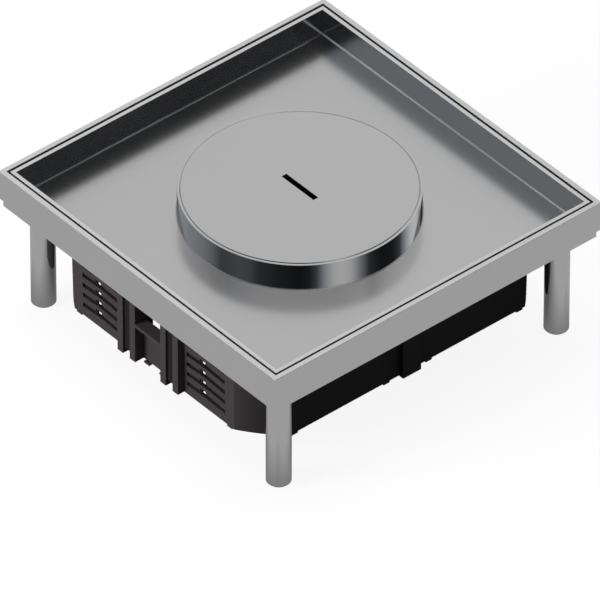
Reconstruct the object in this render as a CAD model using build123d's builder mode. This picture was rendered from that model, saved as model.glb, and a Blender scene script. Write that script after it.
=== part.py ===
"""Levelling floor socket box: a square steel cassette with a round tubus and lid, standing on four
levelling feet, with a moulded device insert hanging below it. Millimetres, +Z up, X and Y along the
sides, origin on the floor under the centre of the box."""

from build123d import *
import os
from math import sqrt, tan, radians

os.makedirs("parts", exist_ok=True)

# Whole box
frame_side = 243.0
box_height = 94.5
running_clearance = 0.05
seat_gap = 0.3
weld_gap = 0.1

# Outer frame, an angle section folded from sheet, with relief notches at its bottom corners
frame_wall = 3.0
flange_reach = 11.0
corner_notch = 3.6
corner_notch_height = 3.4

# Cassette tray, its edge seal and the strip that it rests on
joint_gap = 1.6
tray_wall = 2.3
tray_floor = 1.5
tray_depth = 18.2
rim_drop = 0.2
strip_thickness = 0.7
strip_width = 6.0
seal_height = 8.0
seal_drop = 0.5

# Tubus: the round ring, and the collar inside it that carries the lid
tubus_diameter = 140.0
ring_wall = 1.5
ring_drop = 0.2
ring_edge_chamfer = 0.3
collar_wall = 2.0
collar_shelf = 8.5
collar_shelf_thickness = 2.0
collar_top_depth = 14.0
collar_drop = 6.0

# Lid with its key slot
lid_gap = 0.3
lid_thickness = 3.0
lid_rim_wall = 2.0
gasket_height = 2.0
gasket_width = 4.0
lid_edge_chamfer = 0.3
slot_length = 28.0
slot_width = 3.6
cup_wall = 1.2
cup_length = 36.0
cup_width = 14.0
cup_depth = 8.0
spider_hub_radius = 22.0
spider_rib = 2.0
spider_height = 6.0
spider_ribs = 8

# Stiffening channels under the tray floor
channel_width = 10.0
channel_depth = 8.0
channel_sheet = 1.5
channel_gap = 2.5
channel_end_gap = 3.0
channel_bracket_gap = 3.0

# Corner brackets and the bushes that the spindles turn in
bracket_thickness = 3.0
bracket_leg = 52.0
bracket_inset = 3.5
bracket_corner = 8.0
bush_diameter = 16.0
bush_spigot = 12.0
bush_length = 7.0

# Levelling spindles, their retaining rings and the foot sleeves
spindle_diameter = 8.0
head_diameter = 11.0
head_side_gap = 1.0
head_top_gap = 0.6
hex_socket = 5.0
hex_socket_depth = 2.4
clip_diameter = 11.2
clip_thickness = 1.0
clip_groove_depth = 0.8
foot_diameter = 14.8
foot_base = 6.0
foot_edge_chamfer = 1.2
foot_counterbore = 11.8
foot_counterbore_depth = 2.5
spindle_end_gap = 2.0

# Power socket modules in the middle carrier
module_size = 44.8
module_gap = 0.2
modules_per_carrier = 3
module_plate = 3.0
module_shoulder = 1.4
socket_body_depth = 24.0
socket_wall = 1.5
socket_bore_depth = 17.5
pin_hole = 5.0
pin_pitch = 19.0
pin_hole_depth = 5.0
contact_width = 5.0
contact_thickness = 1.0
contact_height = 11.0
contact_wall_gap = 0.6
blank_wall = 1.5
blank_skirt = 6.0

# Module carriers
carrier_rim = 2.3
carrier_fit = 0.3
carrier_drop = 4.0
carrier_depth = 35.0
carrier_floor = 2.0
side_space_gaps = 3.5
tab_width = 20.0
tab_thickness = 2.5

# Moulded device insert
insert_wall = 2.5
insert_height = 49.6
insert_draft = 0.9
insert_foot_gap = 8.8
insert_side_inset = 26.0
insert_end_inset = 12.2
rail_width = 8.0
rail_height = 4.5
rail_stand_off = 12.8
post_centres = (13.55, 24.3)
post_width = 4.8
post_stand = 4.0
web_recess = 1.2
web_rise = 3.7
pilaster_width = 13.5
pilaster_stand = 3.0
louvre_rows = 5
louvre_pitch = 7.3
louvre_height = 3.2
louvre_rise = 1.0
louvre_depth = 1.5
louvre_post_gap = 2.55
louvre_end_gap = 8.1
louvre_bottom = 7.8
dot_length = 5.0
dot_height = 4.6
dot_rise = 1.6
dot_shift = 2.7
bay_recess = 2.1
window_height = 18.0
window_sill = 28.0
sill_lip = 2.2
duct_depth = 9.5
duct_wall = 1.6
nub_width = 4.5
nub_height = 1.2
boss_diameter = 9.0
boss_length = 12.0
boss_angle = 50.0
boss_inset = 6.8

# Screws
screw_diameter = 4.0
screw_head = 7.5
screw_head_height = 2.2
screw_length = 12.0
small_screw = 3.0
small_screw_head = 5.5
small_screw_head_height = 1.6
small_screw_length = 6.0
terminal_size = 6.5
terminal_edge_gap = 1.0
terminal_wire = 3.2

# Levels and places that follow from the sizes above
frame_half = frame_side / 2
skirt_depth = tray_depth + tray_floor + strip_thickness + frame_wall
flange_bottom = box_height - skirt_depth
flange_top = flange_bottom + frame_wall
tray_floor_top = box_height - tray_depth
tray_bottom = tray_floor_top - tray_floor
rim_top = box_height - rim_drop
tray_half = frame_half - frame_wall - joint_gap
strip_centre = frame_half - flange_reach + strip_width / 2
ring_radius = tubus_diameter / 2
ring_bore = ring_radius - ring_wall
ring_top = box_height - ring_drop
collar_radius = ring_bore - weld_gap
collar_top = box_height - collar_top_depth
lid_radius = ring_bore - lid_gap
lid_underside = ring_top - lid_thickness
spider_radius = lid_radius - lid_rim_wall - weld_gap
lid_rim_bottom = collar_top + gasket_height
bracket_bottom = flange_bottom - bracket_thickness
bush_bottom = bracket_bottom - bush_length
foot_offset = frame_half - flange_reach - head_side_gap - head_diameter / 2
spindle_bottom = foot_base + spindle_end_gap
bracket_edge = frame_half - bracket_inset
insert_top = bracket_bottom
insert_bottom = insert_top - insert_height
insert_radius = foot_offset * sqrt(2) - bush_diameter / 2 - insert_foot_gap
carrier_top = insert_top - carrier_drop
carrier_ledge = carrier_top - module_plate
carrier_bottom = carrier_top - carrier_depth
insert_half_x = frame_half - insert_side_inset
insert_half_y = frame_half - insert_end_inset
module_pitch = module_size + module_gap
socket_body = module_size - 2 * module_shoulder
socket_bore = socket_body - 2 * socket_wall
carrier_inside = socket_body + 2 * carrier_fit
carrier_width = module_size + 2 * carrier_fit + 2 * carrier_rim
carrier_wall = (carrier_width - carrier_inside) / 2
carrier_length = modules_per_carrier * module_pitch + 2 * carrier_wall
rail_inner = carrier_length / 2 + rail_stand_off
rail_outer = rail_inner + rail_width
rail_top = carrier_top - tab_thickness

CORNERS = {
    "front_left": (-1, -1),
    "front_right": (1, -1),
    "back_left": (-1, 1),
    "back_right": (1, 1),
}
CARRIERS = {"left": -1, "centre": 0, "right": 1}

# The carriers share out the width of the insert, with a wider cable space beside the outer two
carrier_free_width = 2 * (insert_half_x - insert_wall) - len(CARRIERS) * carrier_width
carrier_gap = carrier_free_width / (len(CARRIERS) - 1 + 2 * side_space_gaps)
carrier_pitch = carrier_width + carrier_gap

# Where the slanted inner edge of a corner bracket crosses the X and Y axes
bracket_slant = (insert_radius - boss_inset - screw_head) * sqrt(2)


def save(piece, name):
    piece.part.label = name
    export_step(piece.part, f"parts/{name}.step")


# Outer frame: upright skirt with a flange turned in along its bottom edge
with BuildPart() as outer_frame:
    with BuildSketch(Plane.XY.offset(flange_bottom)):
        Rectangle(frame_side, frame_side)
    extrude(amount=skirt_depth)
    with BuildSketch(Plane.XY.offset(flange_top)):
        Rectangle(frame_side - 2 * frame_wall, frame_side - 2 * frame_wall)
    extrude(amount=skirt_depth, mode=Mode.SUBTRACT)
    with BuildSketch(Plane.XY.offset(flange_bottom)):
        Rectangle(frame_side - 2 * flange_reach, frame_side - 2 * flange_reach)
    extrude(amount=frame_wall, mode=Mode.SUBTRACT)
    with BuildSketch(Plane.XY.offset(flange_bottom)):
        with GridLocations(frame_side - corner_notch, frame_side - corner_notch, 2, 2):
            Rectangle(corner_notch, corner_notch)
    extrude(amount=corner_notch_height, mode=Mode.SUBTRACT)
save(outer_frame, "outer_frame")

# Rubber strip on the flange, under the edge of the tray
with BuildPart() as rest_strip:
    with BuildSketch(Plane.XY.offset(flange_top)):
        Rectangle(2 * strip_centre + strip_width, 2 * strip_centre + strip_width)
        Rectangle(2 * strip_centre - strip_width, 2 * strip_centre - strip_width, mode=Mode.SUBTRACT)
    extrude(amount=strip_thickness)
save(rest_strip, "rest_strip")

# Cassette tray: square pan with a round hole in its floor under the tubus
with BuildPart() as cassette_tray:
    with BuildSketch(Plane.XY.offset(tray_bottom)):
        Rectangle(2 * tray_half, 2 * tray_half)
    extrude(amount=rim_top - tray_bottom)
    with BuildSketch(Plane.XY.offset(tray_floor_top)):
        Rectangle(2 * (tray_half - tray_wall), 2 * (tray_half - tray_wall))
    extrude(amount=tray_depth, mode=Mode.SUBTRACT)
    with Locations((0, 0, tray_floor_top)):
        Hole(radius=ring_radius + weld_gap)
save(cassette_tray, "cassette_tray")

# Edge seal around the outside of the tray
with BuildPart() as edge_seal:
    with BuildSketch(Plane.XY.offset(box_height - seal_drop - seal_height)):
        Rectangle(2 * (tray_half + joint_gap - seat_gap), 2 * (tray_half + joint_gap - seat_gap))
        Rectangle(2 * tray_half, 2 * tray_half, mode=Mode.SUBTRACT)
    extrude(amount=seal_height)
save(edge_seal, "edge_seal")

# Tubus ring, welded into the hole in the tray floor
with BuildPart() as tubus_ring:
    with BuildSketch(Plane.XY.offset(tray_bottom)):
        Circle(ring_radius)
        Circle(ring_bore, mode=Mode.SUBTRACT)
    extrude(amount=ring_top - tray_bottom)
    chamfer(tubus_ring.edges().group_by(Axis.Z)[-1], length=ring_edge_chamfer)
save(tubus_ring, "tubus_ring")

# Collar inside the ring: a shelf for the lid and a drip edge below the tray
with BuildPart() as tubus_collar:
    with BuildSketch(Plane.XZ):
        with BuildLine():
            Polyline(
                (collar_radius - collar_shelf, collar_top),
                (collar_radius, collar_top),
                (collar_radius, tray_bottom - collar_drop),
                (collar_radius - collar_wall, tray_bottom - collar_drop),
                (collar_radius - collar_wall, collar_top - collar_shelf_thickness),
                (collar_radius - collar_shelf, collar_top - collar_shelf_thickness),
                close=True,
            )
        make_face()
    revolve(axis=Axis.Z)
save(tubus_collar, "tubus_collar")

# Stiffening channels, open downwards, around the collar: two long ones and two short ones between them
channel_inner = ring_bore + channel_gap
channel_outer = channel_inner + channel_width
channel_centre = (channel_inner + channel_outer) / 2
long_channel = 2 * (bracket_slant - channel_outer - channel_bracket_gap)
short_channel = 2 * (channel_inner - channel_end_gap)
with BuildPart() as tray_stiffeners:
    with BuildSketch(Plane.XY.offset(tray_bottom)):
        with GridLocations(0, 2 * channel_centre, 1, 2):
            Rectangle(long_channel, channel_width)
        with GridLocations(2 * channel_centre, 0, 2, 1):
            Rectangle(channel_width, short_channel)
    extrude(amount=-channel_depth)
    with BuildSketch(Plane.XY.offset(tray_bottom - channel_sheet)):
        with GridLocations(0, 2 * channel_centre, 1, 2):
            Rectangle(long_channel, channel_width - 2 * channel_sheet)
        with GridLocations(2 * channel_centre, 0, 2, 1):
            Rectangle(channel_width - 2 * channel_sheet, short_channel)
    extrude(amount=-channel_depth, mode=Mode.SUBTRACT)
save(tray_stiffeners, "tray_stiffeners")

# Lid: disc with a turned-down rim and a slot for the lifting key
with BuildPart() as tubus_lid:
    with BuildSketch(Plane.XY.offset(lid_rim_bottom)):
        Circle(lid_radius)
    extrude(amount=ring_top - lid_rim_bottom)
    with BuildSketch(Plane.XY.offset(lid_rim_bottom)):
        Circle(lid_radius - lid_rim_wall)
    extrude(amount=lid_underside - lid_rim_bottom, mode=Mode.SUBTRACT)
    with BuildSketch(Plane.XY.offset(lid_underside)):
        Rectangle(slot_length, slot_width)
    extrude(amount=lid_thickness, mode=Mode.SUBTRACT)
    chamfer(tubus_lid.edges().filter_by(GeomType.CIRCLE).group_by(Axis.Z)[-1], length=lid_edge_chamfer)
save(tubus_lid, "tubus_lid")

# Gasket under the rim of the lid
with BuildPart() as lid_gasket:
    with BuildSketch(Plane.XY.offset(collar_top)):
        Circle(lid_radius)
        Circle(lid_radius - gasket_width, mode=Mode.SUBTRACT)
    extrude(amount=gasket_height)
save(lid_gasket, "lid_gasket")

# Closed cup under the key slot, wide enough for the key to turn
with BuildPart() as key_cup:
    with BuildSketch(Plane.XY.offset(lid_underside)):
        Rectangle(cup_length, cup_width)
    extrude(amount=-cup_depth)
    fillet(key_cup.edges().filter_by(Axis.Z), radius=cup_wall * 2)
    offset(amount=-cup_wall, openings=key_cup.faces().sort_by(Axis.Z)[-1])
save(key_cup, "key_cup")

# Spoked stiffener welded under the lid disc
with BuildPart() as lid_stiffener:
    with BuildSketch(Plane.XY.offset(lid_underside)):
        Circle(spider_hub_radius + spider_rib)
        with PolarLocations((spider_hub_radius + spider_radius) / 2, spider_ribs):
            Rectangle(spider_radius - spider_hub_radius, spider_rib)
        Circle(spider_radius, mode=Mode.INTERSECT)
        Circle(spider_hub_radius, mode=Mode.SUBTRACT)
    extrude(amount=-spider_height)
save(lid_stiffener, "lid_stiffener")


def corner_bracket(side_x, side_y):
    """Gusset plate under the flange, with holes for the spindle bush and the insert's screw."""
    far = bracket_edge
    near = bracket_edge - bracket_leg
    with BuildPart() as bracket:
        with BuildSketch(Plane.XY.offset(bracket_bottom)):
            with BuildLine():
                Polyline(
                    (side_x * near, side_y * far),
                    (side_x * (far - bracket_corner), side_y * far),
                    (side_x * far, side_y * (far - bracket_corner)),
                    (side_x * far, side_y * near),
                    (side_x * (bracket_slant - near), side_y * near),
                    (side_x * near, side_y * (bracket_slant - near)),
                    close=True,
                )
            make_face()
            with Locations((side_x * foot_offset, side_y * foot_offset)):
                Circle(bush_spigot / 2 + running_clearance, mode=Mode.SUBTRACT)
            with Locations(boss_place(side_x, side_y)):
                Circle(screw_diameter / 2 + seat_gap, mode=Mode.SUBTRACT)
        extrude(amount=bracket_thickness)
    return bracket


def boss_place(side_x, side_y):
    """Where the insert is screwed to a corner bracket."""
    place = Vector(insert_radius - boss_inset, 0).rotate(Axis.Z, boss_angle)
    return (side_x * place.X, side_y * place.Y)


def spindle_bush(x, y):
    """Shouldered bush pressed up into the bracket."""
    with BuildPart() as bush:
        with BuildSketch(Plane((x, y, bush_bottom))):
            Circle(bush_diameter / 2)
        extrude(amount=bush_length)
        with BuildSketch(Plane((x, y, bracket_bottom))):
            Circle(bush_spigot / 2)
        extrude(amount=bracket_thickness)
        with Locations((x, y, flange_bottom)):
            Hole(radius=spindle_diameter / 2 + running_clearance)
    return bush


def levelling_spindle(x, y):
    """Threaded spindle with a flat head and hexagon socket, and a groove for its retaining ring."""
    clip_top = bush_bottom - seat_gap
    shank = spindle_diameter / 2
    groove = shank - clip_groove_depth
    with BuildPart() as spindle:
        with BuildSketch(Plane((x, y, 0), x_dir=(1, 0, 0), z_dir=(0, -1, 0))):
            with BuildLine():
                Polyline(
                    (0, spindle_bottom),
                    (shank - 1, spindle_bottom),
                    (shank, spindle_bottom + 1),
                    (shank, clip_top - clip_thickness),
                    (groove, clip_top - clip_thickness),
                    (groove, clip_top),
                    (shank, clip_top),
                    (shank, flange_bottom),
                    (head_diameter / 2, flange_bottom),
                    (head_diameter / 2, tray_bottom - head_top_gap),
                    (0, tray_bottom - head_top_gap),
                    close=True,
                )
            make_face()
        revolve(axis=Axis((x, y, 0), (0, 0, 1)))
        with BuildSketch(Plane((x, y, tray_bottom - head_top_gap))):
            RegularPolygon(hex_socket / 2, 6, major_radius=False)
        extrude(amount=-hex_socket_depth, mode=Mode.SUBTRACT)
    return spindle


def spindle_clip(x, y):
    """Open retaining ring in the groove of the spindle, under the bush."""
    with BuildPart() as clip:
        with BuildSketch(Plane((x, y, bush_bottom - seat_gap - clip_thickness))):
            Circle(clip_diameter / 2)
            Circle(spindle_diameter / 2 - clip_groove_depth + running_clearance, mode=Mode.SUBTRACT)
            with Locations((clip_diameter / 2, 0)):
                Rectangle(clip_diameter, spindle_diameter / 2, mode=Mode.SUBTRACT)
        extrude(amount=clip_thickness)
    return clip


def foot_sleeve(x, y):
    """Round foot with a blind threaded bore that the spindle drives down."""
    radius = foot_diameter / 2
    bore = spindle_diameter / 2 + running_clearance
    with BuildPart() as sleeve:
        with BuildSketch(Plane((x, y, 0))):
            Circle(radius)
        extrude(amount=bush_bottom)
        chamfer(sleeve.faces().sort_by(Axis.Z)[0].edges(), length=foot_edge_chamfer)
        with Locations((x, y, bush_bottom)):
            CounterBoreHole(bore, foot_counterbore / 2, foot_counterbore_depth, bush_bottom - foot_base)
    return sleeve


for corner, (side_x, side_y) in CORNERS.items():
    foot_x = side_x * foot_offset
    foot_y = side_y * foot_offset
    save(corner_bracket(side_x, side_y), f"corner_bracket_{corner}")
    save(spindle_bush(foot_x, foot_y), f"spindle_bush_{corner}")
    save(levelling_spindle(foot_x, foot_y), f"levelling_spindle_{corner}")
    save(spindle_clip(foot_x, foot_y), f"spindle_clip_{corner}")
    save(foot_sleeve(foot_x, foot_y), f"foot_sleeve_{corner}")

# Places along the louvred ends of the insert
insert_taper_end = insert_height * tan(radians(insert_draft))
bay_half = post_centres[0] - post_width / 2
bay_panel_face = insert_half_y - insert_taper_end / 2 - bay_recess
sill_level = insert_bottom + window_sill
flat_end = sqrt(insert_radius**2 - insert_half_y**2)
side_flat_end = sqrt(insert_radius**2 - insert_half_x**2)
louvre_start = post_centres[1] + post_width / 2 + louvre_post_gap
louvre_length = flat_end - louvre_end_gap - louvre_start
louvre_centre = louvre_start + louvre_length / 2

# One louvre groove, a shallow chevron
with BuildSketch() as louvre_groove:
    with BuildLine():
        Polyline(
            (-louvre_length / 2, -louvre_height / 2),
            (0, louvre_rise - louvre_height / 2),
            (louvre_length / 2, -louvre_height / 2),
            (louvre_length / 2, louvre_height / 2),
            (0, louvre_rise + louvre_height / 2),
            (-louvre_length / 2, louvre_height / 2),
            close=True,
        )
    make_face()

louvre_places = [
    (side * louvre_centre, insert_bottom + louvre_bottom + row * louvre_pitch)
    for side in (-1, 1)
    for row in range(louvre_rows)
]
carrier_screw_places = [
    (step * carrier_pitch, side * (rail_inner + rail_outer) / 2)
    for step in CARRIERS.values()
    for side in (-1, 1)
]

# Device insert: open moulded skirt with louvred ends, posts, rails and screw bosses
with BuildPart() as insert_housing:
    with BuildSketch(Plane.XY.offset(insert_top)):
        Rectangle(2 * insert_half_x, 2 * insert_half_y)
        Circle(insert_radius, mode=Mode.INTERSECT)
    extrude(amount=-insert_height, taper=insert_draft)
    with BuildSketch(Plane.XY.offset(insert_top)):
        Rectangle(2 * (insert_half_x - insert_wall), 2 * (insert_half_y - insert_wall))
        Circle(insert_radius - insert_wall, mode=Mode.INTERSECT)
    extrude(amount=-insert_height, taper=insert_draft, mode=Mode.SUBTRACT)
    # Cross rails that carry the module carriers
    with BuildSketch(Plane.XY.offset(rail_top)):
        with GridLocations(0, rail_inner + rail_outer, 1, 2):
            Rectangle(2 * insert_half_x, rail_width)
        Rectangle(2 * insert_half_x - insert_wall, 2 * insert_half_y, mode=Mode.INTERSECT)
        Circle(insert_radius - insert_wall / 2, mode=Mode.INTERSECT)
    extrude(amount=-rail_height)
    # Screw bosses in the rounded corners
    with BuildSketch(Plane.XY.offset(insert_top)):
        with Locations(*[boss_place(*sides) for sides in CORNERS.values()]):
            Circle(boss_diameter / 2)
        Circle(insert_radius - insert_wall / 2, mode=Mode.INTERSECT)
    extrude(amount=-boss_length)
    # Cable duct behind each window: two cheeks, and a sunk panel between them up to the sill
    duct_length = duct_depth - insert_wall / 2
    duct_middle = insert_half_y - insert_wall / 2 - duct_length / 2
    with BuildSketch(Plane.XY.offset(rail_top)):
        with GridLocations(2 * bay_half + duct_wall, 2 * duct_middle, 2, 2):
            Rectangle(duct_wall, duct_length)
    extrude(amount=insert_bottom - rail_top)
    with BuildSketch(Plane.XY.offset(sill_level)):
        with GridLocations(0, 2 * bay_panel_face - duct_wall, 1, 2):
            Rectangle(2 * bay_half + duct_wall, duct_wall)
    extrude(amount=insert_bottom - sill_level)
    # Upright posts on the louvred ends
    with BuildSketch(Plane.XY.offset(insert_top)):
        with Locations(
            *[
                (side_x * centre, side_y * (insert_half_y + post_stand / 2 - insert_taper_end / 2))
                for centre in post_centres
                for side_x, side_y in CORNERS.values()
            ]
        ):
            Rectangle(post_width, post_stand + insert_taper_end)
    extrude(amount=-insert_height)
    # Web between the two posts of each pair, sunk behind their faces and ending above their feet
    web_depth = post_stand - web_recess + insert_taper_end
    with BuildSketch(Plane.XY.offset(insert_top)):
        with GridLocations(sum(post_centres), 2 * (insert_half_y + post_stand - web_recess) - web_depth, 2, 2):
            Rectangle(post_centres[1] - post_centres[0], web_depth)
    extrude(amount=web_rise - insert_height)
    # Pilasters on the plain sides
    with BuildSketch(Plane.XY.offset(insert_top)):
        with GridLocations(2 * insert_half_x + pilaster_stand - insert_taper_end, 0, 2, 1):
            Rectangle(pilaster_stand + insert_taper_end, pilaster_width)
    extrude(amount=-insert_height)
    # Nubs under the bottom edge
    nub_x = insert_half_x - insert_taper_end - insert_wall / 2
    nub_y = insert_half_y - insert_taper_end - insert_wall / 2
    with BuildSketch(Plane.XY.offset(insert_bottom)):
        with GridLocations(2 * (flat_end - nub_width), 2 * nub_y, 2, 2):
            Rectangle(nub_width, insert_wall)
        with GridLocations(nub_width * 3, 2 * nub_y, 2, 2):
            Rectangle(nub_width, insert_wall)
        with GridLocations(2 * nub_x, 2 * (side_flat_end - nub_width), 2, 2):
            Rectangle(insert_wall, nub_width)
        with GridLocations(2 * nub_x, pilaster_width + 4 * nub_width, 2, 2):
            Rectangle(insert_wall, nub_width)
    extrude(amount=-nub_height)
    # Louvre grooves, each with a small through dot, and the cable window between the posts
    for side_y in (-1, 1):
        face_middle = side_y * (insert_half_y - insert_taper_end / 2)
        face = Plane((0, face_middle, 0), x_dir=(-side_y, 0, 0), z_dir=(0, side_y, 0))
        with BuildSketch(face.offset(-louvre_depth)):
            with Locations(*louvre_places):
                add(louvre_groove.sketch)
        extrude(amount=insert_wall, mode=Mode.SUBTRACT)
        with BuildSketch(face):
            with Locations(*[(x - dot_shift, z + dot_rise) for x, z in louvre_places]):
                Rectangle(dot_length, dot_height)
            with Locations((0, sill_level + window_height / 2)):
                Rectangle(2 * bay_half, window_height)
        extrude(amount=2 * insert_wall, both=True, mode=Mode.SUBTRACT)
        with BuildSketch(face.offset(-bay_recess)):
            with Locations((0, insert_bottom + window_sill / 2)):
                Rectangle(2 * bay_half, window_sill)
        extrude(amount=insert_wall, mode=Mode.SUBTRACT)
        # Lip of the sill, out to the faces of the posts
        with BuildSketch(face.offset(-bay_recess)):
            with Locations((0, sill_level - sill_lip / 2)):
                Rectangle(2 * bay_half, sill_lip)
        extrude(amount=insert_half_y + post_stand - bay_panel_face)
    with Locations(*[(*boss_place(*sides), insert_top) for sides in CORNERS.values()]):
        Hole(radius=screw_diameter / 2 + running_clearance, depth=boss_length - insert_wall)
    with Locations(*[(x, y, rail_top) for x, y in carrier_screw_places]):
        Hole(radius=small_screw / 2 + running_clearance, depth=rail_height)
save(insert_housing, "insert_housing")


def button_screw(places, seat, diameter, head, head_height, length):
    """Group of screws standing in holes below a seat level."""
    with BuildPart() as screws:
        for x, y in places:
            with BuildSketch(Plane((x, y, seat))):
                Circle(head / 2)
            extrude(amount=head_height)
            with BuildSketch(Plane((x, y, seat))):
                Circle(diameter / 2)
            extrude(amount=-length)
    return screws


insert_screw_places = [boss_place(*sides) for sides in CORNERS.values()]
insert_screws = button_screw(
    insert_screw_places,
    flange_bottom,
    screw_diameter,
    screw_head,
    screw_head_height,
    screw_length - insert_wall,
)
save(insert_screws, "insert_screws")


def module_carrier(x):
    """Channel that holds a row of modules, with a tab at each end for the cross rails."""
    with BuildPart() as carrier:
        with BuildSketch(Plane((x, 0, carrier_bottom))):
            Rectangle(carrier_width, carrier_length)
        extrude(amount=carrier_depth)
        with BuildSketch(Plane((x, 0, carrier_bottom + carrier_floor))):
            Rectangle(carrier_inside, carrier_length)
        extrude(amount=carrier_depth, mode=Mode.SUBTRACT)
        with BuildSketch(Plane((x, 0, carrier_ledge))):
            Rectangle(module_size + 2 * carrier_fit, carrier_length)
        extrude(amount=carrier_depth, mode=Mode.SUBTRACT)
        with BuildSketch(Plane((x, 0, rail_top))):
            with GridLocations(0, carrier_length / 2 + rail_outer, 1, 2):
                Rectangle(tab_width, rail_outer - carrier_length / 2)
            with GridLocations(0, carrier_length - carrier_wall, 1, 2):
                Rectangle(carrier_width, carrier_wall)
            with GridLocations(0, rail_inner + rail_outer, 1, 2):
                Circle(small_screw / 2 + seat_gap / 2, mode=Mode.SUBTRACT)
        extrude(amount=tab_thickness)
    return carrier


for name, step in CARRIERS.items():
    save(module_carrier(step * carrier_pitch), f"module_carrier_{name}")

carrier_screws = button_screw(
    carrier_screw_places,
    carrier_top,
    small_screw,
    small_screw_head,
    small_screw_head_height,
    small_screw_length,
)
save(carrier_screws, "carrier_screws")


def socket_module(y):
    """Earthed power socket with a round recess, in the middle carrier."""
    with BuildPart() as socket:
        with BuildSketch(Plane((0, y, carrier_ledge))):
            RectangleRounded(module_size, module_size, carrier_fit * 2)
        extrude(amount=module_plate)
        with BuildSketch(Plane((0, y, carrier_ledge))):
            Rectangle(socket_body, socket_body)
        extrude(amount=-socket_body_depth)
        with Locations((0, y, carrier_top)):
            Hole(radius=socket_bore / 2, depth=socket_bore_depth)
        with Locations((0, y, carrier_top - socket_bore_depth)):
            with GridLocations(pin_pitch, 0, 2, 1):
                Hole(radius=pin_hole / 2, depth=pin_hole_depth)
    return socket


def contact_pair(y):
    """Two earth contacts standing on the floor of a socket recess."""
    reach = socket_bore / 2 - contact_wall_gap - contact_thickness / 2
    with BuildPart() as contacts:
        with BuildSketch(Plane((0, y, carrier_top - socket_bore_depth))):
            with GridLocations(0, 2 * reach, 1, 2):
                Rectangle(contact_width, contact_thickness)
        extrude(amount=contact_height)
    return contacts


def blank_covers(x):
    """Row of plain covers that close a carrier until modules are fitted."""
    with BuildPart() as covers:
        with BuildSketch(Plane((x, 0, carrier_ledge))):
            with GridLocations(0, module_pitch, 1, modules_per_carrier):
                Rectangle(module_size, module_size)
        extrude(amount=module_plate)
        with BuildSketch(Plane((x, 0, carrier_ledge))):
            with GridLocations(0, module_pitch, 1, modules_per_carrier):
                Rectangle(socket_body, socket_body)
                Rectangle(socket_body - 2 * blank_wall, socket_body - 2 * blank_wall, mode=Mode.SUBTRACT)
        extrude(amount=-blank_skirt)
    return covers


module_rows = [(row - (modules_per_carrier - 1) / 2) * module_pitch for row in range(modules_per_carrier)]
for number, y in enumerate(module_rows, start=1):
    save(socket_module(y), f"socket_module_{number}")
    save(contact_pair(y), f"earth_contacts_{number}")

for name, step in {"left": -1, "right": 1}.items():
    save(blank_covers(step * carrier_pitch), f"blank_covers_{name}")

# Earth terminal under the back left corner bracket
terminal_x = -(bracket_edge - bracket_leg + terminal_size)
terminal_y = bracket_edge - terminal_edge_gap - terminal_size / 2
with BuildPart() as earth_terminal:
    with BuildSketch(Plane((terminal_x, terminal_y, bracket_bottom))):
        Rectangle(1.5 * terminal_size, terminal_size)
    extrude(amount=-terminal_size)
    with BuildSketch(Plane((terminal_x, terminal_y, bracket_bottom - terminal_size / 2), z_dir=(1, 0, 0))):
        Circle(terminal_wire / 2)
    extrude(amount=terminal_size, both=True, mode=Mode.SUBTRACT)
    with BuildSketch(Plane((terminal_x, terminal_y, bracket_bottom - terminal_size))):
        Circle(small_screw_head / 2)
    extrude(amount=-small_screw_head_height)
save(earth_terminal, "earth_terminal")
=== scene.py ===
"""Looks of a square floor socket box with a steel cassette, a round tubus and a moulded insert.

Metres, +Z up, origin on the floor under the centre of the box, as in the CAD model.
"""

import math

import bmesh
import bpy
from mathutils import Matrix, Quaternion, Vector


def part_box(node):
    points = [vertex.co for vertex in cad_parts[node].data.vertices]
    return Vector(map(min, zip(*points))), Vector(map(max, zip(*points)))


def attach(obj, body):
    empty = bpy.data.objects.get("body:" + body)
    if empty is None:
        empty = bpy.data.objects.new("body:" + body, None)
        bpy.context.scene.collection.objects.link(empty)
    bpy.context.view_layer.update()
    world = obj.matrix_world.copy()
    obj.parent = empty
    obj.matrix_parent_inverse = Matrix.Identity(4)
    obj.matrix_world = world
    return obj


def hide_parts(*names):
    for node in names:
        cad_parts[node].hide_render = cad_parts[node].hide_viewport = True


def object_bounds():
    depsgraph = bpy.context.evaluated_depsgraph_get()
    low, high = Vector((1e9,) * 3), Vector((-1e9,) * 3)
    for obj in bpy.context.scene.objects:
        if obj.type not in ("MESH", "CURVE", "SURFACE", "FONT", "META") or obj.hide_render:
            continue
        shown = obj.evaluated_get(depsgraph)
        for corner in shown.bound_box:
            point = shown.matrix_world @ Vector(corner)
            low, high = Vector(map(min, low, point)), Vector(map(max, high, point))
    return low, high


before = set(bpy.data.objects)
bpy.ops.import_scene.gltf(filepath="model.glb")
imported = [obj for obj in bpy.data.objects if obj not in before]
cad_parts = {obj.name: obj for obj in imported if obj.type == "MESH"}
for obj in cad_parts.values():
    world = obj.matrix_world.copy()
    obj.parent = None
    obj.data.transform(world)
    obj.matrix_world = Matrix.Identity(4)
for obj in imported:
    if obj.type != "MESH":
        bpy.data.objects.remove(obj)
cad_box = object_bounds()
BOX_TOP = cad_box[1][2]

CORNERS = {
    "front_left": (-1, -1),
    "front_right": (1, -1),
    "back_left": (-1, 1),
    "back_right": (1, 1),
}
NUMBERS = ("1", "2", "3")

# Camera: a long lens that looks down over the front right corner of the box, angles in degrees
VIEW_AZIMUTH = -40.415
VIEW_ELEVATION = 39.68
VIEW_ROLL = 0.059
VIEW_TARGET = (0.03152, -0.02664)
TARGET_DROP = 0.0495
VIEW_DISTANCE = 8.7255
VIEW_LENS = 921.44
SENSOR = 36.0
FARTHEST_SEEN = 60.0

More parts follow.
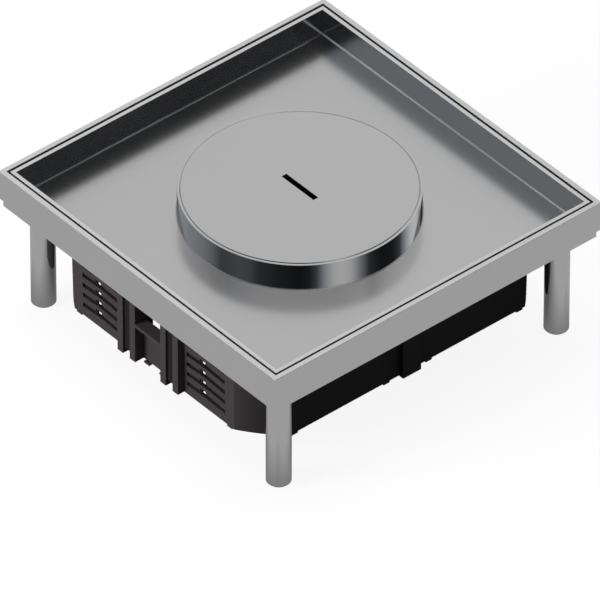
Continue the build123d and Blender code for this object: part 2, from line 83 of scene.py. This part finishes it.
# Finishes as linear light: the main colour of each, and the one that its grain or clouds drift to
SHEET_STEEL = ((0.8, 0.8, 0.805, 1.0), (0.76, 0.765, 0.775, 1.0))
TURNED_STEEL = ((0.8, 0.8, 0.805, 1.0), (0.77, 0.775, 0.785, 1.0))
WELD_STEEL = ((0.8, 0.8, 0.805, 1.0), (0.7, 0.705, 0.715, 1.0))
# The key cup's steel is painted dark as the shade inside the cup
CUP_PAINTED_SHADE = ((0.09, 0.09, 0.095, 1.0), (0.16, 0.16, 0.165, 1.0))
ZINC = ((0.52, 0.53, 0.55, 1.0), (0.66, 0.66, 0.62, 1.0))
MOULDED_PLASTIC = ((0.088, 0.075, 0.08, 1.0), (0.11, 0.098, 0.102, 1.0))
SMOOTH_PLASTIC = ((0.09, 0.09, 0.095, 1.0), (0.12, 0.12, 0.125, 1.0))
RUBBER = ((0.012, 0.012, 0.012, 1.0), (0.03, 0.03, 0.03, 1.0))
BRASS = ((0.72, 0.52, 0.24, 1.0), (0.62, 0.44, 0.2, 1.0))
WHITE = (1.0, 1.0, 1.0, 1.0)

# Steel: strokes of the grain per metre, ground upper edges, slant of the turned cut on the ring
STROKES_ALONG = 12
STROKES_ACROSS = 900
TURNED_STROKES = 1600
EDGE_BAND = 0.0005
EDGE_GRINDING = 0.85
CUT_SLANT = math.tan(math.radians(40.0))

# The insert's louvred ends: drafted faces, paired posts, how far grooves and webs are sunk, and the
# painted shade in them and towards the insert's sides
INSERT_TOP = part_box("insert_housing")[1].z
POST_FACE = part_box("insert_housing")[1].y
POST_STAND = 0.004
DRAFT = math.tan(math.radians(0.9))
POST_INSIDE = 0.0113
GROOVE_SUNK = 0.0006
WEB_SUNK = 0.0007
WEB_MIDDLE = 0.018925
WEB_HALF = 0.0031
LOUVRE_END = 0.0665
LOUVRE_FADE = 0.001
SKIN_FADE = 0.0002
# Painted shade towards the insert's sides: where it starts and how far it fades in; then the
# near-black colour and strength of all the painted shade on the insert
SIDE_SHADE_START = 0.072
SIDE_SHADE_FADE = 0.022
PAINTED_SHADE_COLOUR = (0.012, 0.011, 0.011, 1.0)
PAINTED_SHADE_STRENGTH = 0.8

# Welds on the cassette
TRAY_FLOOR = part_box("cassette_tray")[0].z + 0.0015
TRAY_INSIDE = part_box("cassette_tray")[1].x - 0.0023
RING_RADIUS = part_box("tubus_ring")[1].x
RING_WELD = 0.0007
RING_SEGMENTS = 720
RIPPLES = 180
RIPPLE_DEPTH = 0.08
TRAY_WELD = 0.0008
WELD_ROOT = 0.00005
WELD_STEPS = 4

# Button head screws: radius and height of head, radius and length of shank, socket across flats
INSERT_SCREW = (0.00375, 0.0022, 0.002, 0.0095, 0.0025)
CARRIER_SCREW = (0.00275, 0.0016, 0.0015, 0.006, 0.002)
SCREW_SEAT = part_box("corner_bracket_back_right")[1].z
CARRIER_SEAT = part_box("module_carrier_centre")[1].z
BOSS_RADIUS = 0.12348
BOSS_ANGLE = math.radians(50)
CARRIER_PITCH = 0.054
RAIL_MIDDLE = 0.088

# Shares of a screw's sizes: its tip, the rim of its head, the floor of its socket; its dome's arc
TIP = 0.25
RIM = 0.3
SOCKET_FLOOR = 0.35
DOME_ARC = math.radians(52)
DOME_STEPS = 4

# Levelling spindles: levels from the foot to the head, radii and thread
SPINDLE_LOW, SPINDLE_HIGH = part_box("levelling_spindle_back_right")
SPINDLE_PLACE = (SPINDLE_LOW.x + SPINDLE_HIGH.x) / 2
HEAD = (SPINDLE_HIGH.x - SPINDLE_LOW.x) / 2
HEAD_SOCKET = 0.005
SOCKET_DEPTH = 0.0024
CLIP_BOTTOM, CLIP_TOP = (corner.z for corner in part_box("spindle_clip_back_right"))
SHANK = 0.004
GROOVE = 0.0032
LEAD_IN = 0.001
THREAD_PITCH = 0.00125
THREAD_DEPTH = 0.0006
THREAD_STEPS = 6
AROUND = 24

# The studio's brightness round the compass, in degrees from +X towards +Y
STUDIO_STOPS = [
    (-180, 0.38), (-170, 0.3), (-157, 0.25), (-140, 0.19),
    (-130, 0.16), (-122, 0.11), (-114, 0.046), (-98, 0.06),
    (-88, 0.055), (-79, 0.025), (-60, 0.013), (-40, 0.007),
    (-31, 0.012), (-24, 0.045), (-16, 0.25), (-8, 0.4),
    (0, 0.43), (8, 0.36), (17, 0.14), (24, 0.025),
    (34, 0.007), (48, 0.01), (56, 0.035), (62, 0.27),
    (70, 0.52), (77, 0.54), (83, 0.33), (92, 0.5),
    (104, 0.56), (140, 0.56), (160, 0.46), (180, 0.38),
]
STUDIO_TINT = (0.95, 1.0, 1.08)
TINTED_BELOW = 0.3

# Least brightness low in the studio and brightness overhead, with the heights where each one fades
STUDIO_FILL = 0.2
FILL_TOP = 0.33
FILL_FADE = 1 / 12
STUDIO_ZENITH = 0.44
ZENITH_START = 0.87
ZENITH_FADE = 0.1

# The floor: size and drop, levels for matt light, camera and steel, and the painted shadow below
# the box that the steel mirrors
FLOOR_SIZE = 6.0
FLOOR_DROP = 0.0002
FLOOR_COLOUR = (0.15, 0.15, 0.15, 1.0)
FLOOR_GLOW = 0.9
FLOOR_MIRRORED = 0.41
FLOOR_PAINTED_SHADOW = 0.1
PAINTED_SHADOW_HALF = 0.085
PAINTED_SHADOW_FADE = 0.06

# Lamps: place, target, side and power in watts
KEY_LAMP = ((-0.5, -1.6, 0.7), (0.0, 0.0, 0.04), 0.8, 18.0)
TOP_LAMP = ((0.0, 0.0, 1.8), (0.0, 0.0, 0.0), 1.2, 9.0)


class Term:
    """A node's socket that takes part in Python arithmetic."""

    def __init__(self, tree, socket):
        self.tree = tree
        self.socket = socket

    def calculate(self, operation, *values):
        return self.tree.node("ShaderNodeMath", {"operation": operation}, dict(enumerate(values)))

    def __add__(self, other):
        return self.calculate("ADD", self, other)

    def __radd__(self, other):
        return self.calculate("ADD", other, self)

    def __sub__(self, other):
        return self.calculate("SUBTRACT", self, other)

    def __rsub__(self, other):
        return self.calculate("SUBTRACT", other, self)

    def __mul__(self, other):
        return self.calculate("MULTIPLY", self, other)

    def __rmul__(self, other):
        return self.calculate("MULTIPLY", other, self)

    def __truediv__(self, other):
        return self.calculate("DIVIDE", self, other)

    def __abs__(self):
        return self.calculate("ABSOLUTE", self)

    def larger(self, other):
        return self.calculate("MAXIMUM", self, other)

    def smaller(self, other):
        return self.calculate("MINIMUM", self, other)

    def bearing(self, x):
        """The angle about the Z axis of a point whose Y this is."""
        return self.calculate("ARCTAN2", self, x)

    def fade(self, start, width):
        """Rises from 0 at the start to 1 a width further on, and stays there."""
        return ((self - start) / width).larger(0.0).smaller(1.0)


class Tree:
    """The nodes of a material, a world or a Geometry Nodes group."""

    def __init__(self, group):
        self.nodes = group.nodes
        self.links = group.links
        self.nodes.clear()

    def node(self, kind, settings=None, sockets=None, output=0):
        """Adds a node, with its settings first, and gives one of its outputs."""
        made = self.nodes.new(kind)
        for name, value in (settings or {}).items():
            if name == "stops":
                self.fill_ramp(made.color_ramp, value)
            else:
                setattr(made, name, value)
        for name, value in (sockets or {}).items():
            if isinstance(value, Term):
                self.links.new(value.socket, made.inputs[name])
            else:
                made.inputs[name].default_value = value
        return Term(self, made.outputs[output]) if made.outputs else made

    @staticmethod
    def fill_ramp(ramp, stops):
        for stop in stops[1:-1]:
            ramp.elements.new(stop[0])
        for element, (place, colour) in zip(ramp.elements, stops):
            element.position = place
            element.color = colour

    def split(self, vector):
        """The X, Y and Z of a vector."""
        parts = self.node("ShaderNodeSeparateXYZ", None, {"Vector": vector})
        return [Term(self, parts.socket.node.outputs[axis]) for axis in "XYZ"]

    def join(self, x, y, z):
        return self.node("ShaderNodeCombineXYZ", None, {"X": x, "Y": y, "Z": z})

    def place(self):
        """The point on the piece, in metres."""
        return self.node("ShaderNodeTexCoord", output="Object")

    def facing(self):
        """How far the surface faces along X, Y and Z, from 0 to 1."""
        normal = self.node("ShaderNodeNewGeometry", output="Normal")
        return [abs(part) for part in self.split(normal)]

    def ray(self, kind):
        return self.node("ShaderNodeLightPath", output=f"Is {kind} Ray")

    def noise(self, vector, scale, detail=2.0, roughness=0.5):
        sockets = {"Vector": vector, "Scale": scale, "Detail": detail, "Roughness": roughness}
        return self.node("ShaderNodeTexNoise", None, sockets)

    def relief(self, height, strength, distance=0.0002):
        sockets = {"Height": height, "Strength": strength, "Distance": distance}
        return self.node("ShaderNodeBump", None, sockets)

    def colour_mix(self, factor, first, second, blend="MIX"):
        # The node's sockets for colours have the numbers 6 and 7, and its output the number 2
        settings = {"data_type": "RGBA", "blend_type": blend}
        sockets = {"Factor": factor, 6: first, 7: second}
        return self.node("ShaderNodeMix", settings, sockets, output=2)

    def glow(self, colour, strength):
        return self.node("ShaderNodeEmission", None, {"Color": colour, "Strength": strength})


def finished_material(name, build):
    """A material whose surface comes from a function that fills the Principled sockets."""
    material = bpy.data.materials.new(name)
    material.use_nodes = True
    tree = Tree(material.node_tree)
    surface = tree.node("ShaderNodeBsdfPrincipled", None, build(tree))
    tree.node("ShaderNodeOutputMaterial", None, {"Surface": surface})
    return material


def brushed_steel(tree, ground=0.0):
    """Satin stainless sheet with a fine grain along each face, its top edges ground matt."""
    x, y, z = tree.split(tree.place())
    edge = z.fade(BOX_TOP - EDGE_BAND, EDGE_BAND / 2) * ground
    faces_x, _, level = tree.facing()
    fine = z * STROKES_ACROSS
    along_x = tree.noise(tree.join(x * STROKES_ALONG, y * STROKES_ACROSS, fine), 1.0, 3.0)
    along_y = tree.noise(tree.join(x * STROKES_ACROSS, y * STROKES_ALONG, fine), 1.0, 3.0)
    grain = along_x + (along_y - along_x) * faces_x.fade(0.5, 0.25)
    clouds = tree.noise(tree.place(), 14.0, 3.0)
    return {
        "Base Color": tree.colour_mix(clouds * 0.5, *SHEET_STEEL),
        "Metallic": 1 - edge,
        "Roughness": (grain - 0.5) * 0.06 + clouds * 0.03 + edge * 0.3 + level * 0.12 + 0.1,
        "Normal": tree.relief(grain * (level * 0.7 + 0.3), 0.03),
    }


def edged_steel(tree):
    """The same sheet, its upper edges ground matt."""
    return brushed_steel(tree, EDGE_GRINDING)


def turned_steel(tree):
    """Stainless collar and feet, with the grain round the axis."""
    x, y, z = tree.split(tree.place())
    grain = tree.noise(tree.join(y.bearing(x) * 2, z * TURNED_STROKES, 0.0), 1.0, 3.0)
    clouds = tree.noise(tree.place(), 20.0, 2.0)
    return {
        "Base Color": tree.colour_mix(clouds * 0.5, *TURNED_STEEL),
        "Metallic": 1.0,
        "Roughness": (grain - 0.5) * 0.05 + clouds * 0.03 + 0.07,
        "Normal": tree.relief(grain, 0.03),
    }


def leaning_steel(tree):
    """Ring turned with a fine slanting cut, which lifts what it mirrors above the tray."""
    height = tree.split(tree.place())[2]
    return {**turned_steel(tree), "Normal": tree.relief(height * -CUT_SLANT, 1.0, 1.0)}


def ground_weld(tree):
    """Weld seam, ground matt along the tray's front and back and left bright along its sides."""
    fine = tree.noise(tree.place(), 600.0, 3.0)
    matt = tree.facing()[1].fade(0.0, 1 / 3)
    return {
        "Base Color": tree.colour_mix(fine, *WELD_STEEL),
        "Metallic": 1 - matt * 0.45,
        "Roughness": fine * 0.1 + matt * 0.2 + 0.15,
        "Normal": tree.relief(fine, 0.05),
    }


def zinc_plate(tree):
    """Zinc plated steel, slightly blotchy."""
    blotches = tree.noise(tree.place(), 90.0, 4.0)
    return {
        "Base Color": tree.colour_mix(blotches, *ZINC),
        "Metallic": 1.0,
        "Roughness": blotches * 0.16 + 0.26,
        "Normal": tree.relief(tree.noise(tree.place(), 900.0, 2.0), 0.08),
    }


def black_plastic(tree):
    """Moulded plastic with a fine eroded grain, with painted shade in the louvre grooves, between
    the posts and towards the sides.
    """
    grain = tree.noise(tree.place(), 1400.0, 3.0, 0.6)
    clouds = tree.noise(tree.place(), 40.0, 2.0)
    x, y, z = tree.split(tree.place())
    across, out = abs(x), abs(y)
    # Painted shade: masks of the grooves, the webs between paired posts and the insert's sides,
    # where the colour darkens to near-black
    face = z * DRAFT + (POST_FACE - POST_STAND - INSERT_TOP * DRAFT)
    louvred = across.fade(POST_INSIDE, SKIN_FADE) * (LOUVRE_END - across).fade(0.0, LOUVRE_FADE)
    groove = (face - out).fade(GROOVE_SUNK, 2 * SKIN_FADE) * louvred
    between_posts = (WEB_HALF - abs(across - WEB_MIDDLE)).fade(0.0, SKIN_FADE)
    web = between_posts * (POST_FACE - out).fade(WEB_SUNK, SKIN_FADE)
    side = across.fade(SIDE_SHADE_START, SIDE_SHADE_FADE)
    painted_shade = groove.larger(web).larger(side) * PAINTED_SHADE_STRENGTH
    skin = tree.colour_mix(clouds * 0.4, *MOULDED_PLASTIC)
    return {
        "Base Color": tree.colour_mix(painted_shade, skin, PAINTED_SHADE_COLOUR),
        "Roughness": grain * 0.14 + 0.5,
        "Specular IOR Level": 0.06,
        "Normal": tree.relief(grain, 0.12),
    }


def varied_finish(tree, pattern, colours, share, roughness, relief):
    """Sockets of a finish whose colour, roughness and relief all follow one pattern."""
    least, span = roughness
    return {
        "Base Color": tree.colour_mix(pattern * share, *colours),
        "Roughness": pattern * span + least,
        "Normal": tree.relief(pattern, *relief),
    }


def painted_shade_cup(tree):
    """Key cup, left dull, its steel painted dark as the shade inside it."""
    smudges = tree.noise(tree.place(), 150.0, 3.0)
    finish = varied_finish(
        tree, smudges, CUP_PAINTED_SHADE, share=1.0, roughness=(0.4, 0.1), relief=(0.05,)
    )
    return {**finish, "Metallic": 1.0}


def socket_plastic(tree):
    """Smooth dark thermoplastic."""
    ripple = tree.noise(tree.place(), 60.0, 2.0)
    return varied_finish(
        tree, ripple, SMOOTH_PLASTIC, share=0.4, roughness=(0.3, 0.08), relief=(0.03, 0.0005)
    )


def rubber(tree):
    """Matt black rubber."""
    fine = tree.noise(tree.place(), 700.0, 3.0)
    finish = varied_finish(tree, fine, RUBBER, share=0.4, roughness=(0.65, 0.2), relief=(0.1,))
    return {**finish, "Specular IOR Level": 0.3}


def brass(tree):
    """Bright stamped brass."""
    smudges = tree.noise(tree.place(), 200.0, 3.0)
    finish = varied_finish(
        tree, smudges, BRASS, share=0.6, roughness=(0.18, 0.15), relief=(0.03, 0.0003)
    )
    return {**finish, "Metallic": 1.0}


def placed_mesh(name, points, faces):
    """An object in the scene with a mesh of these points and faces."""
    mesh = bpy.data.meshes.new(name)
    mesh.from_pydata(points, [], faces)
    body = bpy.data.objects.new(name, mesh)
    bpy.context.scene.collection.objects.link(body)
    return body


def swept_mesh(name, rings, closed=True):
    """A skin over rings of points, each joined to the next, and the last to the first if closed."""
    count = len(rings[0])
    faces = []
    for ring in range(len(rings) if closed else len(rings) - 1):
        here = ring * count
        there = (ring + 1) % len(rings) * count
        for step in range(count):
            after = (step + 1) % count
            faces.append((here + step, here + after, there + after, there + step))
    return placed_mesh(name, [point for ring in rings for point in ring], faces)


def loop(radius, level):
    """A round loop of points about the Z axis."""
    turns = [2 * math.pi * step / AROUND for step in range(AROUND)]
    return [(radius * math.cos(turn), radius * math.sin(turn), level) for turn in turns]


def hexagon(flats, level):
    """A loop of as many points on a hexagon of this width across its flats."""
    points = []
    for step in range(AROUND):
        turn = 2 * math.pi * step / AROUND
        off_flat = (turn + math.pi / 6) % (math.pi / 3) - math.pi / 6
        radius = flats / 2 / math.cos(off_flat)
        points.append((radius * math.cos(turn), radius * math.sin(turn), level))
    return points


def lathe(name, loops):
    """A solid of stacked loops, closed at both ends, with its normals outward."""
    body = swept_mesh(name, loops, closed=False)
    shape = bmesh.new()
    shape.from_mesh(body.data)
    bmesh.ops.holes_fill(shape, edges=[edge for edge in shape.edges if edge.is_boundary])
    bmesh.ops.recalc_face_normals(shape, faces=shape.faces)
    shape.to_mesh(body.data)
    shape.free()
    return body


def socket_screw(name, head, height, shank, length, flats):
    """Button head screw with a hexagon socket, seated at Z = 0."""
    loops = [loop(shank * (1 - TIP), -length), loop(shank, shank * TIP - length), loop(shank, 0.0)]
    loops += [loop(head, 0.0), loop(head, height * RIM)]
    for step in range(1, DOME_STEPS + 1):
        turn = DOME_ARC * step / DOME_STEPS
        rise = RIM + (1 - RIM) * math.sin(turn) / math.sin(DOME_ARC)
        loops.append(loop(head * math.cos(turn), height * rise))
    loops += [hexagon(flats, height), hexagon(flats, height * SOCKET_FLOOR)]
    return lathe(name, loops)


def copies_on_points(name, places, pattern, material, seed):
    """One mesh of copies of a pattern, each turned at random about Z, made by Geometry Nodes."""
    body = placed_mesh(name, places, [])
    group = bpy.data.node_groups.new(name, "GeometryNodeTree")
    kinds = {
        "Places": "Geometry",
        "Pattern": "Object",
        "Largest turn": "Float",
        "Finish": "Material",
    }
    inputs = {
        title: group.interface.new_socket(title, in_out="INPUT", socket_type=f"NodeSocket{kind}")
        for title, kind in kinds.items()
    }
    group.interface.new_socket("Copies", in_out="OUTPUT", socket_type="NodeSocketGeometry")
    tree = Tree(group)
    points, shape, largest, finish = (tree.node("NodeGroupInput", output=title) for title in kinds)
    # The node's socket for the largest number is its input 3, and the number its output 1
    settings = {"data_type": "FLOAT"}
    sockets = {3: largest, "Seed": seed}
    turn = tree.node("FunctionNodeRandomValue", settings, sockets, output=1)
    copy = tree.node("GeometryNodeObjectInfo", None, {"Object": shape}, output="Geometry")
    spread = {"Points": points, "Instance": copy, "Rotation": tree.join(0.0, 0.0, turn)}
    instances = tree.node("GeometryNodeInstanceOnPoints", None, spread)
    real = tree.node("GeometryNodeRealizeInstances", None, {"Geometry": instances})
    finished = tree.node("GeometryNodeSetMaterial", None, {"Geometry": real, "Material": finish})
    tree.node("NodeGroupOutput", None, {"Copies": finished})
    modifier = body.modifiers.new(name, "NODES")
    modifier.node_group = group
    modifier[inputs["Pattern"].identifier] = pattern
    modifier[inputs["Largest turn"].identifier] = math.pi / 3
    modifier[inputs["Finish"].identifier] = material
    graph = bpy.context.evaluated_depsgraph_get()
    graph.update()
    made = bpy.data.meshes.new_from_object(body.evaluated_get(graph), depsgraph=graph)
    body.modifiers.clear()
    body.data = made
    bpy.data.objects.remove(pattern)
    return body


def frame_screws(name, node, places, sizes, material, seed):
    """Screws with modelled sockets in place of a CAD node of plain ones."""
    body = copies_on_points(name, places, socket_screw(f"{name}_pattern", *sizes), material, seed)
    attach(body, "frame")
    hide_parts(node)


def thread_loops(start, end):
    """Loops of a right-hand thread with straight flanks, between two levels."""
    loops = []
    rise = THREAD_PITCH / THREAD_STEPS
    level = start
    while level < end - rise:
        points = []
        for x, y, z in loop(SHANK, level):
            phase = (level / THREAD_PITCH - math.atan2(y, x) / (2 * math.pi)) % 1.0
            share = 1 - THREAD_DEPTH / SHANK * abs(2 * phase - 1)
            points.append((x * share, y * share, z))
        loops.append(points)
        level += rise
    return loops


def threaded_spindle(corner, side_x, side_y, material):
    """Levelling spindle with a thread up to its retaining ring and a hexagon socket in its head."""
    foot, top = SPINDLE_LOW.z, SPINDLE_HIGH.z
    loops = [loop(SHANK - LEAD_IN, foot)] + thread_loops(foot + LEAD_IN, CLIP_BOTTOM)
    loops += [loop(SHANK - THREAD_DEPTH, CLIP_BOTTOM), loop(GROOVE, CLIP_BOTTOM)]
    loops += [loop(GROOVE, CLIP_TOP), loop(SHANK, CLIP_TOP)]
    loops += [loop(SHANK, SCREW_SEAT), loop(HEAD, SCREW_SEAT), loop(HEAD, top)]
    loops += [hexagon(HEAD_SOCKET, top), hexagon(HEAD_SOCKET, top - SOCKET_DEPTH)]
    body = lathe(f"threaded_spindle_{corner}", loops)
    for point in body.data.vertices:
        point.co.x += side_x * SPINDLE_PLACE
        point.co.y += side_y * SPINDLE_PLACE
    body.data.materials.append(material)
    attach(body, f"spindle_{corner}")
    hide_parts(f"levelling_spindle_{corner}")


def fillet_profile(radius):
    """Section of a fillet weld in a corner, with a hollow face between floor and wall."""
    steps = [math.pi / 2 * step / WELD_STEPS for step in range(WELD_STEPS + 1)]
    curve = [(radius * (1 - math.sin(turn)), radius * (1 - math.cos(turn))) for turn in steps]
    return [(-WELD_ROOT, -WELD_ROOT), (radius, -WELD_ROOT)] + curve + [(-WELD_ROOT, radius)]


def cassette_weld(name, rings, material, smooth=False):
    """A weld on the cassette, closed on itself."""
    body = swept_mesh(name, rings)
    for face in body.data.polygons:
        face.use_smooth = smooth
    body.data.materials.append(material)
    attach(body, "cassette")


def ring_weld(material):
    """Weld bead round the foot of the tubus ring, slightly rippled."""
    rings = []
    for step in range(RING_SEGMENTS):
        turn = 2 * math.pi * step / RING_SEGMENTS
        size = RING_WELD * (1 + RIPPLE_DEPTH * math.sin(turn * RIPPLES))
        ring = []
        for out, rise in reversed(fillet_profile(size)):
            radius = RING_RADIUS + out
            ring.append((radius * math.cos(turn), radius * math.sin(turn), TRAY_FLOOR + rise))
        rings.append(ring)
    cassette_weld("ring_weld", rings, material, smooth=True)


def tray_weld(material):
    """Weld seam along the foot of the tray's four walls, mitred at the corners."""
    rings = []
    for side_x, side_y in ((-1, -1), (1, -1), (1, 1), (-1, 1)):
        rings.append([
            (side_x * (TRAY_INSIDE - out), side_y * (TRAY_INSIDE - out), TRAY_FLOOR + rise)
            for out, rise in fillet_profile(TRAY_WELD)
        ])
    cassette_weld("tray_weld", rings, material)


def dress(nodes, material):
    """Gives a material to CAD nodes whose shape stays."""
    for node in nodes:
        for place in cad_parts[node].material_slots:
            place.material = material


def grey(level):
    return (level, level, level, 1.0)


def studio_colour(level):
    """The dim stretches of the studio are faintly blue."""
    if level >= TINTED_BELOW:
        return grey(level)
    return (*(level * share for share in STUDIO_TINT), 1.0)


def studio_world():
    """A studio whose walls are light and dark in turn, and a white backdrop for the camera."""
    world = bpy.data.worlds.new("studio")
    bpy.context.scene.world = world
    world.use_nodes = True
    tree = Tree(world.node_tree)
    x, y, z = tree.split(tree.node("ShaderNodeTexCoord", output="Generated"))
    turn = y.bearing(x) / (2 * math.pi) + 0.5
    stops = [((angle + 180) / 360, studio_colour(level)) for angle, level in STUDIO_STOPS]
    walls = tree.node("ShaderNodeValToRGB", {"stops": stops}, {"Fac": turn})
    low = (FILL_TOP - z).fade(0.0, FILL_FADE)
    filled = tree.colour_mix(low, walls, grey(STUDIO_FILL), "LIGHTEN")
    high = z.fade(ZENITH_START, ZENITH_FADE)
    room = tree.colour_mix(high, filled, grey(STUDIO_ZENITH))
    shown = tree.colour_mix(tree.ray("Camera"), room, WHITE)
    light = tree.node("ShaderNodeBackground", None, {"Color": shown, "Strength": 1.0})
    tree.node("ShaderNodeOutputWorld", None, {"Surface": light})


def studio_floor():
    """Plain pale floor: white to the camera, with the object's shadow; to the steel an even glow
    with a painted shadow below the box.
    """
    bpy.ops.mesh.primitive_plane_add(size=FLOOR_SIZE, location=(0, 0, -FLOOR_DROP))
    floor = bpy.context.object
    floor.name = "studio_floor"
    material = bpy.data.materials.new("pale_floor_painted_shadow")
    material.use_nodes = True
    tree = Tree(material.node_tree)
    matt = tree.node("ShaderNodeBsdfDiffuse", None, {"Color": FLOOR_COLOUR})
    white = tree.glow(WHITE, tree.ray("Camera") * FLOOR_GLOW)
    both = tree.node("ShaderNodeAddShader", None, {0: matt, 1: white})
    # Painted shadow: the glow that glossy rays see is dimmed below the box
    x, y = tree.split(tree.place())[:2]
    outside = abs(x).larger(abs(y)).fade(PAINTED_SHADOW_HALF, PAINTED_SHADOW_FADE)
    steel_glow_painted_shadow = tree.glow(WHITE, outside * (FLOOR_MIRRORED - FLOOR_PAINTED_SHADOW) + FLOOR_PAINTED_SHADOW)
    shown = tree.node("ShaderNodeMixShader", None, {0: tree.ray("Glossy"), 1: both, 2: steel_glow_painted_shadow})
    tree.node("ShaderNodeOutputMaterial", None, {"Surface": shown})
    floor.data.materials.append(material)


def soft_lamp(name, place, target, size, power):
    """Square area lamp that lights the matt surfaces and isn't mirrored in the steel."""
    lamp = bpy.data.lights.new(name, "AREA")
    lamp.size = size
    lamp.energy = power
    body = bpy.data.objects.new(name, lamp)
    body.location = place
    body.rotation_euler = (Vector(target) - Vector(place)).to_track_quat("-Z", "Y").to_euler()
    body.visible_glossy = False
    body.visible_camera = False
    bpy.context.scene.collection.objects.link(body)


def photo_camera():
    """Camera that sees the box as the photo shows it."""
    lens = bpy.data.cameras.new("photo_camera")
    lens.lens = VIEW_LENS
    lens.sensor_width = SENSOR
    lens.clip_end = FARTHEST_SEEN
    body = bpy.data.objects.new("photo_camera", lens)
    azimuth, elevation = math.radians(VIEW_AZIMUTH), math.radians(VIEW_ELEVATION)
    level = math.cos(elevation)
    back = Vector((level * math.cos(azimuth), level * math.sin(azimuth), math.sin(elevation)))
    roll = Quaternion((0, 0, 1), math.radians(VIEW_ROLL))
    body.location = Vector((*VIEW_TARGET, BOX_TOP - TARGET_DROP)) + back * VIEW_DISTANCE
    body.rotation_euler = (back.to_track_quat("Z", "Y") @ roll).to_euler()
    bpy.context.scene.collection.objects.link(body)
    bpy.context.scene.camera = body


bpy.context.scene.view_settings.view_transform = "Standard"
photo_camera()
studio_world()
studio_floor()
soft_lamp("key_lamp", *KEY_LAMP)
soft_lamp("top_lamp", *TOP_LAMP)

sheet_steel = finished_material("brushed_stainless", brushed_steel)
edge_steel = finished_material("edged_stainless", edged_steel)
ring_steel = finished_material("ring_stainless", leaning_steel)
round_steel = finished_material("turned_stainless", turned_steel)
weld_steel = finished_material("ground_weld", ground_weld)
cup_steel_painted_shade = finished_material("dull_stainless_painted_shade", painted_shade_cup)
plated_steel = finished_material("zinc_plate", zinc_plate)
moulded_black_painted_shade = finished_material("moulded_black_painted_shade", black_plastic)
smooth_dark = finished_material("smooth_dark", socket_plastic)
black_rubber = finished_material("black_rubber", rubber)
bright_brass = finished_material("bright_brass", brass)

# Cassette with its tubus and lid
dress(["outer_frame", "cassette_tray"], edge_steel)
dress(["tubus_lid", "lid_stiffener"], sheet_steel)
dress(["key_cup"], cup_steel_painted_shade)
dress(["tubus_ring"], ring_steel)
dress(["tubus_collar"], round_steel)
dress(["tray_stiffeners"], plated_steel)
dress(["edge_seal", "rest_strip", "lid_gasket"], black_rubber)
ring_weld(sheet_steel)
tray_weld(weld_steel)

# Levelling feet
dress([f"foot_sleeve_{corner}" for corner in CORNERS], round_steel)
for part in ("corner_bracket", "spindle_bush", "spindle_clip"):
    dress([f"{part}_{corner}" for corner in CORNERS], plated_steel)
for corner, (side_x, side_y) in CORNERS.items():
    threaded_spindle(corner, side_x, side_y, plated_steel)

# Insert with its carriers, sockets and screws
dress(["insert_housing", "blank_covers_left", "blank_covers_right"], moulded_black_painted_shade)
dress([f"module_carrier_{side}" for side in ("left", "centre", "right")], moulded_black_painted_shade)
dress([f"socket_module_{number}" for number in NUMBERS], smooth_dark)
dress([f"earth_contacts_{number}" for number in NUMBERS] + ["earth_terminal"], bright_brass)
boss_x, boss_y = BOSS_RADIUS * math.cos(BOSS_ANGLE), BOSS_RADIUS * math.sin(BOSS_ANGLE)
boss_places = [
    (side_x * boss_x, side_y * boss_y, SCREW_SEAT) for side_x, side_y in CORNERS.values()
]
frame_screws("socket_screws", "insert_screws", boss_places, INSERT_SCREW, plated_steel, seed=3)
rail_places = [
    (step * CARRIER_PITCH, side * RAIL_MIDDLE, CARRIER_SEAT)
    for step in (-1, 0, 1)
    for side in (-1, 1)
]
frame_screws(
    "small_socket_screws", "carrier_screws", rail_places, CARRIER_SCREW, plated_steel, seed=5
)
